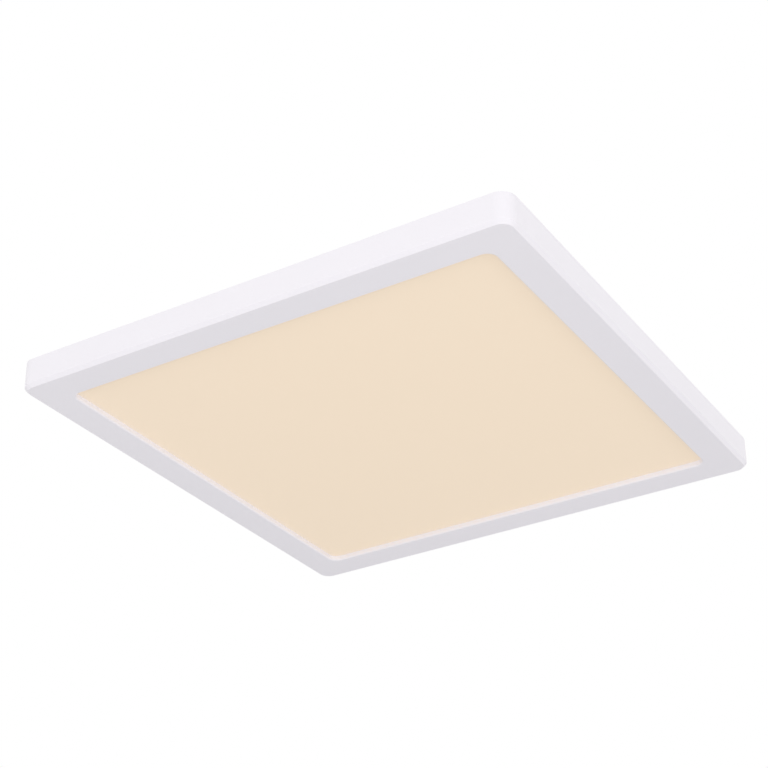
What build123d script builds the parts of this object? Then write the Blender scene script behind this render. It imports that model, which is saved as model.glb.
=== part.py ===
from build123d import *
import os
from math import sqrt

# Slim square LED ceiling light, in millimetres.
# The ceiling is the plane z = 0 and +Z points up into it, so the light hangs below the origin.
# The origin is the middle of the ceiling bracket's two screw slots.

# Outside form
side = 420.0                # outer side of the frame at the ceiling rim
height = 24.0               # ceiling to the lower face of the frame
corner_radius = 12.0        # outer corners in plan
draft = 1.0                 # degrees, the outer wall narrows towards the lower face
lower_edge_bevel = 2.8      # bevelled edge between wall and lower face
bezel_width = 29.0          # rim to the edge of the lit opening, in plan
opening_radius = 8.0        # corners of the lit opening
opening_edge_radius = 1.5   # rounded edge of the opening
recess_depth = 4.5          # lower face to the diffuser

# Frame moulding
bezel_thickness = 2.4
frame_wall = 3.0
rebate_width = 1.2          # step in the wall that the back cover drops onto
lip_wall = 2.0              # upright lip round the opening
rib_thickness = 1.6
rib_count = 7               # cross ribs on each side of the bezel
rib_end = 60.0              # end of a side to its first cross rib
stop_gap = 0.3              # locating ribs to the edges of the light guide
stop_length = 3.0
stop_end = 0.5              # corner of the light guide to the end of a corner stop

# Optical stack
diffuser_thickness = 1.5
guide_thickness = 3.0
reflector_thickness = 0.3
sheet_corner = 1.0
led_gap = 0.7               # LED faces to the edge of the light guide

# Heat plate and LED boards
heat_sheet = 0.8
heat_bend = 0.7
led_rail_inset = 13.0       # frame rim to the outside of the heat plate's flanges
flange_rise = 0.1           # lower edge of a flange above the frame's ribs
heat_plate_setback = 14.0   # frame rim to the plain edges of the heat plate
ear_width = 12.0
ear_inset = 5.0             # frame rim to the end of an ear
tape_thickness = 0.2
led_board_thickness = 1.0
led_board_margin = 0.1      # board edges inside the depth of the stack
led_board_end = 7.5         # end of a board inside the end of the light guide
led_height = 0.8
led_length = 3.5
led_width = 2.8
led_count = 48
led_row_end = 4.0           # end of a board to the middle of its first LED

# Screws
screw_radius = 1.2
screw_head_radius = 2.8
screw_head_height = 1.5
screw_length = 6.5
pilot_clearance = 0.05
screw_hole_clearance = 0.3
pilot_depth = 7.5
cover_post_radius = 3.5
cover_post_inset = 6.0      # frame rim to the middle of a cover post
cover_screw_end = 80.0      # end of a side to its outer cover screw
heat_boss_radius = 3.0
heat_boss_inset = 8.5
heat_screw_end = 35.0       # end of a side to its outer heat plate screw
heat_screw_pitch = 110.0
heat_screw_length = 5.5     # under the head, through the heat plate

# Back cover
cover_sheet = 0.6
cover_setback = 2.0         # ceiling to the upper face of the cover
cover_gap = 0.4             # cover to the frame all round
pocket_length = 230.0
pocket_width = 130.0
pocket_radius = 14.0
pocket_floor_gap = 1.5      # pocket floor to the heat plate
pocket_bend = 1.5
bead_width = 10.0
bead_height = 0.9
bead_slope = 40.0           # degrees, sides of a bead from upright
bead_length = 170.0
bead_offset = 165.0         # middle of the light to a straight bead
bead_corner_length = 90.0
bead_corner_offset = 208.0

# Ceiling bracket and spring clips
bracket_sheet = 1.2
bracket_width = 50.0
bracket_corner = 6.0
bracket_bend = 1.6
leg_offset = 74.4           # middle of the bracket to the middle of a leg's sheet
leg_width = 26.0
leg_bump_start = 4.6        # ceiling to the start of the snap bump
leg_bump = 2.2
bump_bend = 1.0
screw_spacing = 90.0        # middle to middle of the two ceiling screw slots
slot_length = 14.0
slot_width = 5.0
cable_hole_radius = 11.0
clip_sheet = 0.5
clip_width = 20.0
clip_gap = 0.25             # clip to the bracket's snap bump
clip_reach = 3.0
clip_flare = 2.2
clip_bend = 0.8
clip_base = 15.0
rivet_radius = 1.5
rivet_head_radius = 2.7
rivet_head_height = 0.9
rivet_pitch = 11.0
rivet_clearance = 0.05

# Mains terminal block
terminal_front = -36.0      # y of the face with the conductor entries
terminal_back_gap = 3.0     # block to the pocket wall behind it
terminal_width = 33.0
terminal_height = 8.6
terminal_base_thickness = 1.2
terminal_edge = 0.6
pole_pitch = 10.0
chamber_width = 7.4
chamber_front_wall = 4.0
chamber_back_wall = 3.6
chamber_roof = 1.6
entry_size = 3.2
snout_width = 22.0
snout_height = 4.0
snout_rise = 2.6            # pocket floor to the underside of the snout
snout_reach = 8.0           # snout beyond the pocket wall
snout_gap = 0.3
ear_reach = 8.0
ear_thickness = 2.4
button_width = 4.6
button_length = 6.0
button_gap = 0.3
button_rise = 1.3           # button top above the block
button_flange = 0.8
button_flange_height = 1.4
button_seat_gap = 0.1
button_radius = 0.5
contact_thickness = 0.9
contact_width = 5.6
contact_gap = 0.4
spring_sheet = 0.35
spring_width = 4.0
spring_gap = 0.1
spring_flat = 0.1           # straight part between the two bends of a hairpin

# Driver
driver_start = 20.0         # x of the input end
driver_length = 120.0
driver_width = 44.0
driver_inset = 93.0         # frame rim to the middle of the driver
driver_tape_thickness = 0.8
driver_tape_inset = 4.0
driver_clearance = 0.8      # case to the back cover
driver_wall = 1.2
driver_floor = 1.0
driver_corner = 3.0
driver_lid_thickness = 1.0
driver_lid_rim = 1.6
driver_lid_gap = 0.15
driver_board_rise = 1.0
driver_board_thickness = 1.0
driver_board_gap = 0.5
driver_post = 2.0
part_headroom = 0.4         # tallest parts on the board to the lid
transformer_length = 20.0
transformer_width = 19.0
transformer_offset = 6.0    # middle of the driver to the transformer
winding_width = 12.0
winding_length = 27.0
winding_height = 3.0
capacitor_length = 13.0
capacitor_spread = 20.0     # middle to middle of the two input capacitors
capacitor_offset = 16.0     # middle of the driver to the input capacitors
output_capacitor_offset = 36.0
choke_radius = 6.5
choke_hole_radius = 2.6
choke_offset = 36.0

# Leads
lead_radius = 1.1           # mains leads
lead_bend = 9.0
lead_pitch = 10.0
lead_entry = 4.0            # length of a lead inside the driver or the terminal
lead_clearance = 0.15
wire_radius = 0.6           # cores of the flat LED leads
wire_pitch = 1.4
wire_board_gap = 0.1        # lower core above the driver's board
wire_bend = 8.0
wire_drop_bend = 2.6
wire_solder = 0.1           # wire to the end of an LED board
wire_slot_gap = 0.5
wire_turn = 25.0            # driver to the cross run of the left lead
wire_run_inset = 22.0       # ends of the LED boards to the cross run of the left lead
wire_clip_pitch = 110.0
wire_clip_count = 3
wire_clip_length = 8.0
wire_clip_wall = 1.6

# Levels, from the lower face up
z_lower = -height
z_bezel = z_lower + bezel_thickness
z_diffuser = z_lower + recess_depth
z_guide = z_diffuser + diffuser_thickness
z_reflector = z_guide + guide_thickness
z_heat = z_reflector + reflector_thickness
z_heat_top = z_heat + heat_sheet
z_pocket_under = z_heat_top + pocket_floor_gap
z_pocket = z_pocket_under + cover_sheet
z_cover_top = -cover_setback
z_cover = z_cover_top - cover_sheet

# Plan sizes
half = side / 2
driver_y = driver_inset - half
opening_side = side - 2 * bezel_width
cavity_side = side - 2 * frame_wall
rebate_side = cavity_side + 2 * rebate_width
cover_side = rebate_side - 2 * cover_gap
flange_x = half - led_rail_inset
board_x = flange_x - heat_sheet - tape_thickness - led_board_thickness
guide_half = board_x - led_height - led_gap
board_length = 2 * (guide_half - led_board_end)
cover_screw_reach = half - cover_screw_end
cover_post_reach = half - cover_post_inset
cover_screw_points = [
    (x, y)
    for along in (-cover_screw_reach, 0, cover_screw_reach)
    for x, y in (
        (along, cover_post_reach),
        (along, -cover_post_reach),
        (cover_post_reach, along),
        (-cover_post_reach, along),
    )
]
heat_screw_x = half - heat_screw_end
heat_screw_y = half - heat_boss_inset
heat_screw_points = [
    (sx * x, sy * heat_screw_y)
    for x in (heat_screw_x, heat_screw_x - heat_screw_pitch)
    for sx in (-1, 1)
    for sy in (-1, 1)
]
hands = (("left", -1), ("right", 1))

# Each finished piece is written to its own file in this folder
os.makedirs("parts", exist_ok=True)


def finish(piece, name):
    """Name a finished piece and write it out."""
    piece.part.label = name
    export_step(piece.part, f"parts/{name}.step")


def screw_set(points, z_seat, length):
    """Pan-headed screws whose heads rest on the level z_seat."""
    with BuildPart() as screws:
        with BuildSketch(Plane.XY.offset(z_seat)):
            with Locations(*points):
                Circle(screw_head_radius)
        extrude(amount=screw_head_height)
        with BuildSketch(Plane.XY.offset(z_seat)):
            with Locations(*points):
                Circle(screw_radius)
        extrude(amount=-length)
    return screws


# Frame: outer wall, bezel and the lip round the opening are one moulding
with BuildPart() as frame:
    with BuildSketch(Plane.XY):
        RectangleRounded(side, side, corner_radius)
    extrude(amount=-height, taper=draft)
    chamfer(frame.faces().sort_by(Axis.Z)[0].edges(), lower_edge_bevel)
    with BuildSketch(Plane.XY):
        RectangleRounded(rebate_side, rebate_side, corner_radius - frame_wall + rebate_width)
    extrude(amount=z_cover, mode=Mode.SUBTRACT)
    with BuildSketch(Plane.XY.offset(z_cover)):
        RectangleRounded(cavity_side, cavity_side, corner_radius - frame_wall)
    extrude(amount=z_bezel - z_cover, taper=draft, mode=Mode.SUBTRACT)
    with BuildSketch(Plane.XY.offset(z_lower)):
        RectangleRounded(opening_side, opening_side, opening_radius)
    extrude(amount=bezel_thickness, mode=Mode.SUBTRACT)
    with BuildSketch(Plane.XY.offset(z_bezel)):
        RectangleRounded(opening_side + 2 * lip_wall, opening_side + 2 * lip_wall, opening_radius + lip_wall)
        RectangleRounded(opening_side, opening_side, opening_radius, mode=Mode.SUBTRACT)
    extrude(amount=z_diffuser - z_bezel)
    fillet(frame.faces().sort_by(Axis.Z)[0].inner_wires()[0].edges(), opening_edge_radius)
    # Cross ribs stiffen the bezel between the lip and the outer wall
    rib_step = (side - 2 * rib_end) / (rib_count - 1)
    rib_length = bezel_width - lip_wall / 2 - frame_wall / 2
    rib_middle = half - frame_wall / 2 - rib_length / 2
    with BuildSketch(Plane.XY.offset(z_bezel)):
        with PolarLocations(rib_middle, 4):
            with GridLocations(0, rib_step, 1, rib_count):
                Rectangle(rib_length, rib_thickness)
    extrude(amount=z_diffuser - z_bezel)
    # Posts for the cover screws stand against the outer wall
    with BuildSketch(Plane.XY.offset(z_bezel)):
        with Locations(*cover_screw_points):
            Circle(cover_post_radius)
    extrude(amount=z_cover - z_bezel)
    with BuildSketch(Plane.XY.offset(z_cover)):
        with Locations(*cover_screw_points):
            Circle(screw_radius + pilot_clearance)
    extrude(amount=-pilot_depth, mode=Mode.SUBTRACT)
    # Bosses for the heat plate carry a fin that keeps the light guide in place
    fin_start = guide_half + stop_gap
    fin_length = heat_screw_y - fin_start
    with BuildSketch(Plane.XY.offset(z_bezel)):
        with Locations(*heat_screw_points):
            Circle(heat_boss_radius)
    extrude(amount=z_heat - z_bezel)
    with BuildSketch(Plane.XY.offset(z_bezel)):
        with Locations(*[(x, y / abs(y) * (fin_start + fin_length / 2)) for x, y in heat_screw_points]):
            Rectangle(rib_thickness, fin_length)
    extrude(amount=z_reflector - z_bezel)
    with BuildSketch(Plane.XY.offset(z_heat)):
        with Locations(*heat_screw_points):
            Circle(screw_radius + pilot_clearance)
    extrude(amount=-heat_screw_length, mode=Mode.SUBTRACT)
    # Corner stops beside the ends of the LED boards
    with BuildSketch(Plane.XY.offset(z_bezel)):
        with GridLocations(
            2 * guide_half + 2 * stop_gap + rib_thickness,
            2 * guide_half - 2 * stop_end - stop_length,
            2,
            2,
        ):
            Rectangle(rib_thickness, stop_length)
    extrude(amount=z_reflector - z_bezel)
finish(frame, "frame")

# Optical stack: opal diffuser, clear light guide and white reflector film, one on the other
for name, level, thickness in (
    ("diffuser", z_diffuser, diffuser_thickness),
    ("light_guide", z_guide, guide_thickness),
    ("reflector", z_reflector, reflector_thickness),
):
    with BuildPart() as sheet:
        with BuildSketch(Plane.XY.offset(level)):
            RectangleRounded(2 * guide_half, 2 * guide_half, sheet_corner)
        extrude(amount=thickness)
    finish(sheet, name)

# Heat plate: folded aluminium tray, flanges carry the LED boards and ears take the screws
heat_half_y = half - heat_plate_setback
wire_x = board_x + led_board_thickness / 2
wire_y = -board_length / 2 - wire_solder - wire_radius
wire_slot_length = wire_pitch + 2 * wire_radius + 2 * wire_slot_gap
wire_slot_width = flange_x - heat_sheet - (wire_x - wire_radius - wire_slot_gap)
with BuildPart() as heat_plate:
    with BuildSketch(Plane.XY.offset(z_heat)):
        Rectangle(2 * flange_x, 2 * heat_half_y)
        with Locations(*[(x, 0) for x, y in heat_screw_points if y > 0]):
            Rectangle(ear_width, side - 2 * ear_inset)
    extrude(amount=heat_sheet)
    with BuildSketch(Plane.XY.offset(z_diffuser + flange_rise)):
        with GridLocations(2 * flange_x - heat_sheet, 0, 2, 1):
            Rectangle(heat_sheet, 2 * heat_half_y)
    extrude(amount=z_heat - z_diffuser - flange_rise)
    bends = heat_plate.edges().filter_by(Axis.Y).filter_by_position(Axis.Z, z_heat_top, z_heat_top)
    fillet(bends.filter_by(lambda e: abs(e.center().X) > flange_x - heat_sheet / 2), heat_bend)
    with BuildSketch(Plane.XY.offset(z_heat)):
        with Locations(*heat_screw_points):
            Circle(screw_radius + screw_hole_clearance)
        with GridLocations(2 * (wire_x - wire_radius - wire_slot_gap) + wire_slot_width, 0, 2, 1):
            with Locations((0, wire_y - wire_pitch / 2)):
                Rectangle(wire_slot_width, wire_slot_length)
    extrude(amount=heat_sheet, mode=Mode.SUBTRACT)
finish(heat_plate, "heat_plate")
finish(screw_set(heat_screw_points, z_heat_top, heat_screw_length), "heat_plate_screws")

# LED boards, their heat-conducting tape and the LEDs, along the left and right edges of the guide
board_z = z_diffuser + led_board_margin
board_height = z_heat - z_diffuser - 2 * led_board_margin
for hand, sign in hands:
    with BuildPart() as led_tape:
        with BuildSketch(Plane.XY.offset(board_z)):
            with Locations((sign * (board_x + led_board_thickness + tape_thickness / 2), 0)):
                Rectangle(tape_thickness, board_length)
        extrude(amount=board_height)
    finish(led_tape, f"led_tape_{hand}")
    with BuildPart() as led_board:
        with BuildSketch(Plane.XY.offset(board_z)):
            with Locations((sign * (board_x + led_board_thickness / 2), 0)):
                Rectangle(led_board_thickness, board_length)
        extrude(amount=board_height)
    finish(led_board, f"led_board_{hand}")
    led_step = (board_length - 2 * led_row_end) / (led_count - 1)
    with BuildPart() as led_chips:
        with BuildSketch(Plane.XY.offset(z_guide + guide_thickness / 2 - led_width / 2)):
            with Locations((sign * (board_x - led_height / 2), 0)):
                with GridLocations(0, led_step, 1, led_count):
                    Rectangle(led_height, led_length)
        extrude(amount=led_width)
    finish(led_chips, f"led_chips_{hand}")

# Back cover: pressed steel sheet with stiffening beads and a drawn pocket for bracket and wiring
terminal_back = -pocket_width / 2 + terminal_back_gap
snout_z = z_pocket + snout_rise + snout_height / 2
clip_x = leg_offset + sqrt(2) * (bracket_sheet / 2 + clip_sheet / 2 + clip_gap)
clip_arm_x = clip_x + clip_reach
rivet_points = [
    (sign * (clip_arm_x + clip_base / 2), y) for sign in (-1, 1) for y in (-rivet_pitch / 2, rivet_pitch / 2)
]
terminal_screw_x = terminal_width / 2 + ear_reach / 2
terminal_screw_y = (terminal_front + terminal_back) / 2
terminal_screw_points = [(-terminal_screw_x, terminal_screw_y), (terminal_screw_x, terminal_screw_y)]
with BuildPart() as back_cover:
    with BuildSketch(Plane.XY.offset(z_cover)):
        RectangleRounded(cover_side, cover_side, corner_radius - frame_wall + rebate_width - cover_gap)
    extrude(amount=cover_sheet)
    with BuildSketch(Plane.XY.offset(z_cover)):
        RectangleRounded(
            pocket_length + 2 * cover_sheet, pocket_width + 2 * cover_sheet, pocket_radius + cover_sheet
        )
    extrude(amount=z_pocket_under - z_cover)
    with BuildSketch(Plane.XY.offset(z_cover_top)):
        RectangleRounded(pocket_length, pocket_width, pocket_radius)
    extrude(amount=z_pocket - z_cover_top, mode=Mode.SUBTRACT)
    for level, bend in (
        (z_pocket, pocket_bend),
        (z_pocket_under, pocket_bend + cover_sheet),
        (z_cover_top, pocket_bend + cover_sheet),
        (z_cover, pocket_bend),
    ):
        ring = back_cover.edges().filter_by_position(Axis.Z, level, level)
        fillet(ring.filter_by(lambda e: max(abs(e.center().X), abs(e.center().Y)) < half - bezel_width), bend)
    for level, inset, mode in ((z_cover_top, 0, Mode.ADD), (z_cover, cover_sheet, Mode.SUBTRACT)):
        with BuildSketch(Plane.XY.offset(level)):
            with PolarLocations(bead_offset, 4):
                SlotOverall(bead_length - inset, bead_width - inset, rotation=90)
            with PolarLocations(bead_corner_offset, 4, start_angle=45):
                SlotOverall(bead_corner_length - inset, bead_width - inset)
        extrude(amount=bead_height, taper=bead_slope, mode=mode)
    with BuildSketch(Plane.XY.offset(z_cover)):
        with Locations(*cover_screw_points):
            Circle(screw_radius + screw_hole_clearance)
    extrude(amount=cover_sheet, mode=Mode.SUBTRACT)
    with BuildSketch(Plane.XY.offset(z_pocket_under)):
        with Locations(*rivet_points):
            Circle(rivet_radius + rivet_clearance)
        with Locations(*terminal_screw_points):
            Circle(screw_radius + pilot_clearance)
    extrude(amount=cover_sheet, mode=Mode.SUBTRACT)
    with Locations((0, -pocket_width / 2 - cover_sheet / 2, snout_z)):
        Box(snout_width + 2 * snout_gap, 2 * cover_sheet, snout_height + 2 * snout_gap, mode=Mode.SUBTRACT)
finish(back_cover, "back_cover")
finish(screw_set(cover_screw_points, z_cover_top, screw_length), "back_cover_screws")

# Ceiling bracket: flat bar with two screw slots, a cable hole and two snap legs
with BuildPart() as ceiling_bracket:
    with BuildSketch(Plane.XY):
        RectangleRounded(2 * (leg_offset - bracket_bend), bracket_width, bracket_corner)
        with GridLocations(screw_spacing, 0, 2, 1):
            SlotOverall(slot_length, slot_width, mode=Mode.SUBTRACT)
        Circle(cable_hole_radius, mode=Mode.SUBTRACT)
    extrude(amount=-bracket_sheet)
    for hand, sign in hands:
        with BuildSketch(Plane.XZ):
            with BuildLine():
                FilletPolyline(
                    (sign * (leg_offset - bracket_bend - bracket_corner), -bracket_sheet / 2),
                    (sign * leg_offset, -bracket_sheet / 2),
                    (sign * leg_offset, -leg_bump_start),
                    (sign * (leg_offset + leg_bump), -leg_bump_start - leg_bump),
                    (sign * leg_offset, -leg_bump_start - 2 * leg_bump),
                    radius=[bracket_bend, bump_bend, bump_bend],
                )
            trace(line_width=bracket_sheet)
        extrude(amount=leg_width / 2, both=True)
finish(ceiling_bracket, "ceiling_bracket")

# Spring clips: bent steel strips riveted to the pocket floor, they snap over the bracket's legs
for hand, sign in hands:
    with BuildPart() as spring_clip:
        with BuildSketch(Plane.XZ):
            with BuildLine():
                FilletPolyline(
                    (sign * (clip_arm_x + clip_base), z_pocket + clip_sheet / 2),
                    (sign * clip_arm_x, z_pocket + clip_sheet / 2),
                    (sign * clip_arm_x, -leg_bump_start - clip_reach),
                    (sign * clip_x, -leg_bump_start),
                    (sign * (clip_x + clip_flare), -leg_bump_start + clip_flare),
                    radius=[clip_bend, clip_bend, clip_bend],
                )
            trace(line_width=clip_sheet)
        extrude(amount=clip_width / 2, both=True)
        with BuildSketch(Plane.XY.offset(z_pocket)):
            with Locations(*rivet_points):
                Circle(rivet_radius + rivet_clearance)
        extrude(amount=clip_sheet, mode=Mode.SUBTRACT)
    finish(spring_clip, f"spring_clip_{hand}")

with BuildPart() as clip_rivets:
    rivet_seat = z_pocket + clip_sheet
    with BuildSketch(Plane.XY.offset(rivet_seat)):
        with Locations(*rivet_points):
            Circle(rivet_head_radius)
    extrude(amount=rivet_head_height)
    with BuildSketch(Plane.XY.offset(rivet_seat)):
        with Locations(*rivet_points):
            Circle(rivet_radius)
    extrude(amount=z_pocket_under - rivet_seat)
    with BuildSketch(Plane.XY.offset(z_pocket_under)):
        with Locations(*rivet_points):
            Circle(rivet_head_radius)
    extrude(amount=-rivet_head_height)
finish(clip_rivets, "clip_rivets")

# Terminal block: moulded housing over a base, a contact, a hairpin spring and a button per pole
terminal_length = terminal_front - terminal_back
terminal_y = (terminal_front + terminal_back) / 2
z_terminal = z_pocket + terminal_base_thickness
z_terminal_top = z_pocket + terminal_height
chamber_front = terminal_front - chamber_front_wall
chamber_back = terminal_back + chamber_back_wall
chamber_y = (chamber_front + chamber_back) / 2
chamber_length = chamber_front - chamber_back
z_roof = z_terminal_top - chamber_roof
z_contact_top = z_terminal + contact_thickness
pole_x = {"live": -pole_pitch, "earth": 0.0, "neutral": pole_pitch}
lead_x = {"live": -lead_pitch / 2, "neutral": lead_pitch / 2}
with BuildPart() as terminal_housing:
    with BuildSketch(Plane.XY.offset(z_terminal)):
        with Locations((0, terminal_y)):
            Rectangle(terminal_width, terminal_length)
    extrude(amount=z_terminal_top - z_terminal)
    chamfer(terminal_housing.faces().sort_by(Axis.Z)[-1].edges(), terminal_edge)
    snout_back = -pocket_width / 2 - cover_sheet - snout_reach
    with BuildSketch(Plane.XY.offset(snout_z - snout_height / 2)):
        with Locations((0, (snout_back + terminal_back) / 2)):
            Rectangle(snout_width, terminal_back - snout_back)
    extrude(amount=snout_height)
    with BuildSketch(Plane.XY.offset(z_terminal)):
        with Locations((0, chamber_y)):
            with GridLocations(pole_pitch, 0, 3, 1):
                Rectangle(chamber_width, chamber_length)
    extrude(amount=z_roof - z_terminal, mode=Mode.SUBTRACT)
    with BuildSketch(Plane.XY.offset(z_roof)):
        with Locations((0, chamber_y)):
            with GridLocations(pole_pitch, 0, 3, 1):
                Rectangle(button_width + 2 * button_gap, button_length + 2 * button_gap)
    extrude(amount=chamber_roof, mode=Mode.SUBTRACT)
    entry_z = z_contact_top + entry_size / 2
    with BuildSketch(Plane.XZ.offset(-chamber_front)):
        with Locations((0, entry_z)):
            with GridLocations(pole_pitch, 0, 3, 1):
                Rectangle(entry_size, entry_size)
    extrude(amount=-chamber_front_wall, mode=Mode.SUBTRACT)
    with BuildSketch(Plane.XZ.offset(-snout_back)):
        with Locations((0, snout_z)):
            with GridLocations(lead_pitch, 0, 2, 1):
                Circle(lead_radius + lead_clearance)
    extrude(amount=-lead_entry, mode=Mode.SUBTRACT)
finish(terminal_housing, "terminal_housing")

with BuildPart() as terminal_base:
    with BuildSketch(Plane.XY.offset(z_pocket)):
        with Locations((0, terminal_y)):
            Rectangle(terminal_width, terminal_length)
    extrude(amount=terminal_base_thickness)
    with BuildSketch(Plane.XY.offset(z_pocket)):
        with Locations((0, terminal_y)):
            with GridLocations(terminal_width + ear_reach, 0, 2, 1):
                Rectangle(ear_reach, ear_reach)
    extrude(amount=ear_thickness)
    fillet(terminal_base.edges().filter_by(Axis.Z).group_by(Axis.X)[0], ear_reach / 4)
    fillet(terminal_base.edges().filter_by(Axis.Z).group_by(Axis.X)[-1], ear_reach / 4)
    with BuildSketch(Plane.XY.offset(z_pocket)):
        with Locations(*terminal_screw_points):
            Circle(screw_radius + screw_hole_clearance)
    extrude(amount=ear_thickness, mode=Mode.SUBTRACT)
finish(terminal_base, "terminal_base")
terminal_screw_length = ear_thickness + cover_sheet + pocket_floor_gap / 2
finish(screw_set(terminal_screw_points, z_pocket + ear_thickness, terminal_screw_length), "terminal_screws")

with BuildPart() as terminal_contacts:
    with BuildSketch(Plane.XY.offset(z_terminal)):
        with Locations((0, chamber_y)):
            with GridLocations(pole_pitch, 0, 3, 1):
                Rectangle(contact_width, chamber_length - 2 * contact_gap)
    extrude(amount=contact_thickness)
finish(terminal_contacts, "terminal_contacts")

z_flange = z_roof - button_seat_gap - button_flange_height
spring_top = z_flange - spring_gap
spring_back = chamber_back + contact_gap + spring_sheet
spring_front = chamber_front - contact_gap - button_flange
spring_bend = (spring_top - z_contact_top - spring_sheet - spring_flat) / 2
for pole, x in pole_x.items():
    with BuildPart() as terminal_spring:
        with BuildSketch(Plane.YZ.offset(x)):
            with BuildLine():
                FilletPolyline(
                    (spring_front, z_contact_top + spring_sheet / 2),
                    (spring_back, z_contact_top + spring_sheet / 2),
                    (spring_back, spring_top - spring_sheet / 2),
                    (spring_front, spring_top - spring_sheet / 2),
                    radius=[spring_bend, spring_bend],
                )
            trace(line_width=spring_sheet)
        extrude(amount=spring_width / 2, both=True)
    finish(terminal_spring, f"terminal_spring_{pole}")
    with BuildPart() as terminal_button:
        with BuildSketch(Plane.XY.offset(z_flange)):
            with Locations((x, chamber_y)):
                Rectangle(button_width + 2 * button_flange, button_length + 2 * button_flange)
        extrude(amount=button_flange_height)
        with BuildSketch(Plane.XY.offset(z_flange)):
            with Locations((x, chamber_y)):
                Rectangle(button_width, button_length)
        extrude(amount=z_terminal_top + button_rise - z_flange)
        fillet(terminal_button.faces().sort_by(Axis.Z)[-1].edges(), button_radius)
    finish(terminal_button, f"terminal_button_{pole}")

# Driver: two-part plastic case on a foam tape, with the circuit board and its larger parts
driver_x = driver_start + driver_length / 2
z_driver = z_heat_top + driver_tape_thickness
z_driver_top = z_cover - driver_clearance
z_driver_lid = z_driver_top - driver_lid_thickness
z_board = z_driver + driver_floor + driver_board_rise
z_board_top = z_board + driver_board_thickness
part_height = z_driver_lid - part_headroom - z_board_top
inner_length = driver_length - 2 * driver_wall
inner_width = driver_width - 2 * driver_wall
wire_z = z_board_top + wire_board_gap + wire_radius
lead_y = {"live": driver_y - lead_pitch / 2, "neutral": driver_y + lead_pitch / 2}
wire_y_out = {"left": driver_y - lead_pitch / 2, "right": driver_y + lead_pitch / 2}
with BuildPart() as driver_tape:
    with BuildSketch(Plane.XY.offset(z_heat_top)):
        with Locations((driver_x, driver_y)):
            Rectangle(driver_length - 2 * driver_tape_inset, driver_width - 2 * driver_tape_inset)
    extrude(amount=driver_tape_thickness)
finish(driver_tape, "driver_tape")

with BuildPart() as driver_base:
    with BuildSketch(Plane.XY.offset(z_driver)):
        with Locations((driver_x, driver_y)):
            RectangleRounded(driver_length, driver_width, driver_corner)
    extrude(amount=z_driver_lid - z_driver)
    with BuildSketch(Plane.XY.offset(z_driver + driver_floor)):
        with Locations((driver_x, driver_y)):
            RectangleRounded(inner_length, inner_width, driver_corner - driver_wall)
    extrude(amount=z_driver_lid - z_driver - driver_floor, mode=Mode.SUBTRACT)
    post_x = inner_length - 2 * driver_board_gap - 2 * driver_post
    post_y = inner_width - 2 * driver_board_gap - 2 * driver_post
    with BuildSketch(Plane.XY.offset(z_driver + driver_floor)):
        with Locations((driver_x, driver_y)):
            with GridLocations(post_x, post_y, 2, 2):
                Rectangle(driver_post, driver_post)
    extrude(amount=driver_board_rise)
    with BuildSketch(Plane.YZ.offset(driver_start)):
        with Locations((driver_y, snout_z)):
            with GridLocations(lead_pitch, 0, 2, 1):
                Circle(lead_radius + lead_clearance)
    extrude(amount=driver_wall, mode=Mode.SUBTRACT)
    with BuildSketch(Plane.YZ.offset(driver_start + driver_length - driver_wall)):
        with Locations((driver_y, wire_z + wire_pitch / 2)):
            with GridLocations(lead_pitch, 0, 2, 1):
                SlotCenterToCenter(wire_pitch, 2 * wire_radius + 2 * lead_clearance, rotation=90)
    extrude(amount=driver_wall, mode=Mode.SUBTRACT)
finish(driver_base, "driver_base")

with BuildPart() as driver_lid:
    with BuildSketch(Plane.XY.offset(z_driver_lid)):
        with Locations((driver_x, driver_y)):
            RectangleRounded(driver_length, driver_width, driver_corner)
    extrude(amount=driver_lid_thickness)
    chamfer(driver_lid.faces().sort_by(Axis.Z)[-1].edges(), driver_lid_thickness / 3)
    rim_radius = driver_corner - driver_wall - driver_lid_gap
    with BuildSketch(Plane.XY.offset(z_driver_lid)):
        with Locations((driver_x, driver_y)):
            RectangleRounded(inner_length - 2 * driver_lid_gap, inner_width - 2 * driver_lid_gap, rim_radius)
            Rectangle(
                inner_length - 2 * driver_lid_gap - 2 * driver_wall,
                inner_width - 2 * driver_lid_gap - 2 * driver_wall,
                mode=Mode.SUBTRACT,
            )
    extrude(amount=-driver_lid_rim)
    lead_notch = lead_radius + lead_clearance
    with BuildSketch(Plane.XY.offset(z_driver_lid)):
        with Locations((driver_start + driver_wall + driver_wall, driver_y)):
            Rectangle(2 * driver_wall, lead_pitch + 4 * lead_notch)
    extrude(amount=-driver_lid_rim, mode=Mode.SUBTRACT)
finish(driver_lid, "driver_lid")

with BuildPart() as driver_board:
    with BuildSketch(Plane.XY.offset(z_board)):
        with Locations((driver_x, driver_y)):
            Rectangle(inner_length - 2 * driver_board_gap, inner_width - 2 * driver_board_gap)
    extrude(amount=driver_board_thickness)
finish(driver_board, "driver_board")

with BuildPart() as driver_transformer:
    with BuildSketch(Plane.XY.offset(z_board_top)):
        with Locations((driver_x + transformer_offset, driver_y)):
            Rectangle(transformer_length, transformer_width)
    extrude(amount=part_height)
    with BuildSketch(Plane.XY.offset(z_board_top + (part_height - winding_height) / 2)):
        with Locations((driver_x + transformer_offset, driver_y)):
            SlotOverall(winding_length, winding_width)
    extrude(amount=winding_height)
finish(driver_transformer, "driver_transformer")

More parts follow.
